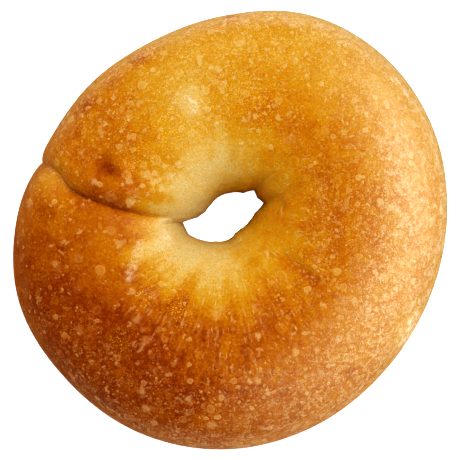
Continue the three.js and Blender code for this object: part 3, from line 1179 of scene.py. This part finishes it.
rises = [
    (mottle.outputs["Fac"], MOTTLE_RISE), (speckle.outputs["Fac"], SPECKLE_RISE),
    (grain.outputs["Fac"], GRAIN_RISE),
]
rises += [(layer.outputs["Height"], DISC_LAYERS[name]["rise"]) for name, layer in layers.items()]
bump_height = weighted(rises)
bump = add_node(crust_tree, "ShaderNodeBump", {
    "Height": bump_height, "Distance": MM, "Strength": 1.0})
crust_tree.links.new(bump.outputs["Normal"], crust_shader.inputs["Normal"])
bagel.data.materials.append(crust)
print("crust:", len(crust_tree.nodes), "nodes")

# %% The piece takes the solid's place
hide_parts("bagel")
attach(bagel, "root")
print("pieces:", bagel.name)

# %% [markdown]
# ## Floor
# The bagel lies on a pale floor that is white to the camera, as a lit light table is, so that no
# shadow darkens the hole. Its glow could light the bagel as well, but glowing surfaces are found
# by chance and leave grain in the shade. So the floor glows for the camera alone, and a lamp
# just above it, the light table further down, gives its light.

# %% Floor
FLOOR_SIZE = 3.0
FLOOR_GREY = 0.9
FLOOR_GLOW = 1.0
PAINT_ROUGHNESS = 0.9


def flat_square(name, middle, size, level):
    """A level square of this size about its middle, facing up."""
    (x, y), half = middle, size / 2
    mesh = bpy.data.meshes.new(name)
    ways = [(-1, -1), (1, -1), (1, 1), (-1, 1)]
    corners = [(x + way_x * half, y + way_y * half, level) for way_x, way_y in ways]
    mesh.from_pydata(corners, [], [(0, 1, 2, 3)])
    made = bpy.data.objects.new(name, mesh)
    bpy.context.collection.objects.link(made)
    return made


def grey_paint(name, grey):
    """A rough material of one grey."""
    paint = bpy.data.materials.new(name)
    paint.use_nodes = True
    shader = paint.node_tree.nodes["Principled BSDF"]
    shader.inputs["Base Color"].default_value = (grey, grey, grey, 1)
    shader.inputs["Roughness"].default_value = PAINT_ROUGHNESS
    return paint


floor = flat_square("floor", (0, 0), FLOOR_SIZE, 0)
floor_paint = grey_paint("pale_floor", FLOOR_GREY)
floor_shader = floor_paint.node_tree.nodes["Principled BSDF"]
floor_shader.inputs["Emission Color"].default_value = (1, 1, 1, 1)
floor_shader.inputs["Emission Strength"].default_value = FLOOR_GLOW
floor.data.materials.append(floor_paint)
floor.visible_glossy = False
floor.visible_diffuse = False
print("floor, m:", FLOOR_SIZE)

# %% [markdown]
# ## A dark card under the hole
# Light from below would shine up the hole and ring its edge with red. A weaker light table would
# cure that, but darken the rim too. A dark card just under the hole takes away only the light
# that shines up it. The camera doesn't see the card, so the hole stays white.

# %% A dark card under the hole
CARD_SIZE = 26 * MM
CARD_LEVEL = 0.2 * MM
CARD_GREY = 0.05

card = flat_square("dark_card", (HOLE_X * MM, HOLE_Y * MM), CARD_SIZE, CARD_LEVEL)
card.data.materials.append(grey_paint("dark_card_paint", CARD_GREY))
card.visible_camera = False
card.visible_glossy = False
print("card, mm:", round(CARD_SIZE / MM))

# %% [markdown]
# ## Light
# The light is soft daylight: a window high at the back right, a white ceiling, and two weak
# fills at the left and the front right. The light table's lamp lies just above the floor, with
# the strength of a white table. None of these shows in the gloss, which would grey the crust
# all over. The gloss comes from one low window on the right, slightly warm, which in turn gives
# no other light. One lamp for both would be simpler, but then each change of the gloss would
# change the colours too.

# %% Soft lamps and the window of the gloss
LAMP_DISTANCE = 1.5
SOFT_LAMPS = {
    "window": dict(bearing=62, elevation=60, size=(1.3, 1.3), power=22),
    "ceiling": dict(bearing=0, elevation=90, size=(3.0, 3.0), power=22),
    "left_fill": dict(bearing=165, elevation=15, size=(1.0, 0.6), power=4.5),
    "front_fill": dict(bearing=-45, elevation=10, size=(1.2, 0.6), power=12),
}
LOW_WINDOW = dict(bearing=14, elevation=15, size=(2.0, 0.75), power=30)
LOW_WINDOW_COLOUR = (1.0, 0.94, 0.86)


def lamp(name, bearing, elevation, size, power):
    """A flat lamp on a sphere about the bagel, turned to face it. Size is width and height."""
    data = bpy.data.lights.new(name, "AREA")
    data.shape = "RECTANGLE"
    data.size, data.size_y = size
    data.energy = power
    made = bpy.data.objects.new(name, data)
    around, up = math.radians(bearing), math.radians(elevation)
    level = math.cos(up)
    towards = Vector((math.cos(around) * level, math.sin(around) * level, math.sin(up)))
    made.location = LAMP_DISTANCE * towards
    made.rotation_euler = (-towards).to_track_quat("-Z", "Y").to_euler()
    bpy.context.collection.objects.link(made)
    return made


def keep_out_of_gloss(made):
    """Hide a lamp from gloss, and find it by direct sampling alone, as nothing else sees it."""
    made.visible_glossy = False
    made.data.cycles.use_multiple_importance_sampling = False


for name, place in SOFT_LAMPS.items():
    keep_out_of_gloss(lamp(name, **place))
low_window = lamp("low_window", **LOW_WINDOW)
low_window.visible_diffuse = False
low_window.data.color = LOW_WINDOW_COLOUR
print("lamps:", len(SOFT_LAMPS) + 1)

# %% The light table
TABLE_SIZE = 0.6
TABLE_HEIGHT = 0.1 * MM
TABLE_RADIANCE = 1.9

# A flat lamp's power is its radiance times pi times its area.
table_power = TABLE_RADIANCE * math.pi * TABLE_SIZE ** 2
table = lamp("light_table", 0, 90, (TABLE_SIZE, TABLE_SIZE), table_power)
table.location = (0, 0, TABLE_HEIGHT)
table.rotation_euler = (math.pi, 0, 0)
table.visible_camera = False
keep_out_of_gloss(table)
print("light table, watts:", round(table_power, 2))

# %% The room
ROOM_LIGHT = 0.01

world = bpy.data.worlds.new("white_room")
bpy.context.scene.world = world
world.use_nodes = True
world.node_tree.nodes["Background"].inputs["Color"].default_value = (1, 1, 1, 1)
world.node_tree.nodes["Background"].inputs["Strength"].default_value = ROOM_LIGHT
world.cycles_visibility.glossy = False
bpy.context.scene.view_settings.view_transform = "Standard"
print("room light:", ROOM_LIGHT)
